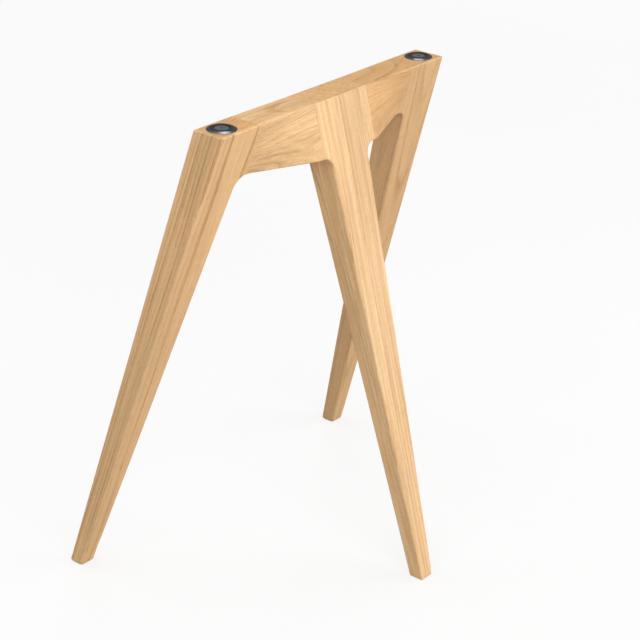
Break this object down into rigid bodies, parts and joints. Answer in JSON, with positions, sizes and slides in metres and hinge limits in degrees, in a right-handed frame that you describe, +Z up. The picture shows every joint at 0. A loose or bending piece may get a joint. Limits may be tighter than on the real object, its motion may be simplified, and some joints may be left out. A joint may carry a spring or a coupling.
{
  "type": "sawhorse",
  "caption": "Three-legged solid wood trestle with a twisted top rail, splayed tapered legs and a rubber-topped levelling pad at each end for a tabletop.",
  "frame": {"origin": "on the floor, under the middle of the top rail", "axes": "+Z up, +X along the top rail, -Y towards the middle leg's foot"},
  "size_m": [0.6392, 0.438, 0.723],
  "materials": {
    "oak": "clear matt oil, straight grain along every piece",
    "beech": "plain machined",
    "black_nickel": "dark polished plating over a turned bevel",
    "zinc_plated_steel": "satin",
    "brass": "machined",
    "black_rubber": "smooth matt"
  },
  "bodies": {
    "frame": {"left_leg": "oak", "middle_leg": "oak", "right_leg": "oak", "left_rail": "oak", "right_rail": "oak", "left_leg_dowels": "beech", "left_rail_inner_dowels": "beech", "left_threaded_insert": "brass", "right_leg_dowels": "beech", "right_rail_inner_dowels": "beech", "right_threaded_insert": "brass"},
    "left_pad": {"left_pad_cup": "black_nickel", "left_pad_ring": "black_rubber"},
    "left_stud": {"left_levelling_stud": "zinc_plated_steel", "left_retaining_washer": "zinc_plated_steel"},
    "right_pad": {"right_pad_cup": "black_nickel", "right_pad_ring": "black_rubber"},
    "right_stud": {"right_levelling_stud": "zinc_plated_steel", "right_retaining_washer": "zinc_plated_steel"}
  },
  "joints": [
    {"name": "left_pad_rise", "type": "slide", "parent": "frame", "child": "left_pad", "axis": [0, 0, 1], "range_m": [0, 0.006]},
    {"name": "left_stud_turn", "type": "hinge", "parent": "left_pad", "child": "left_stud", "pos_m": [-0.222, 0, 0.72], "axis": [0, 0, 1], "range_deg": [0, 1728]},
    {"name": "right_pad_rise", "type": "slide", "parent": "frame", "child": "right_pad", "axis": [0, 0, 1], "range_m": [0, 0.006]},
    {"name": "right_stud_turn", "type": "hinge", "parent": "right_pad", "child": "right_stud", "pos_m": [0.222, 0, 0.72], "axis": [0, 0, 1], "range_deg": [0, 1728]}
  ],
  "couplings": [
    {"joint": "left_stud_turn", "follows": "left_pad_rise", "rad_per_m": 5026.5},
    {"joint": "right_stud_turn", "follows": "right_pad_rise", "rad_per_m": 5026.5}
  ]
}
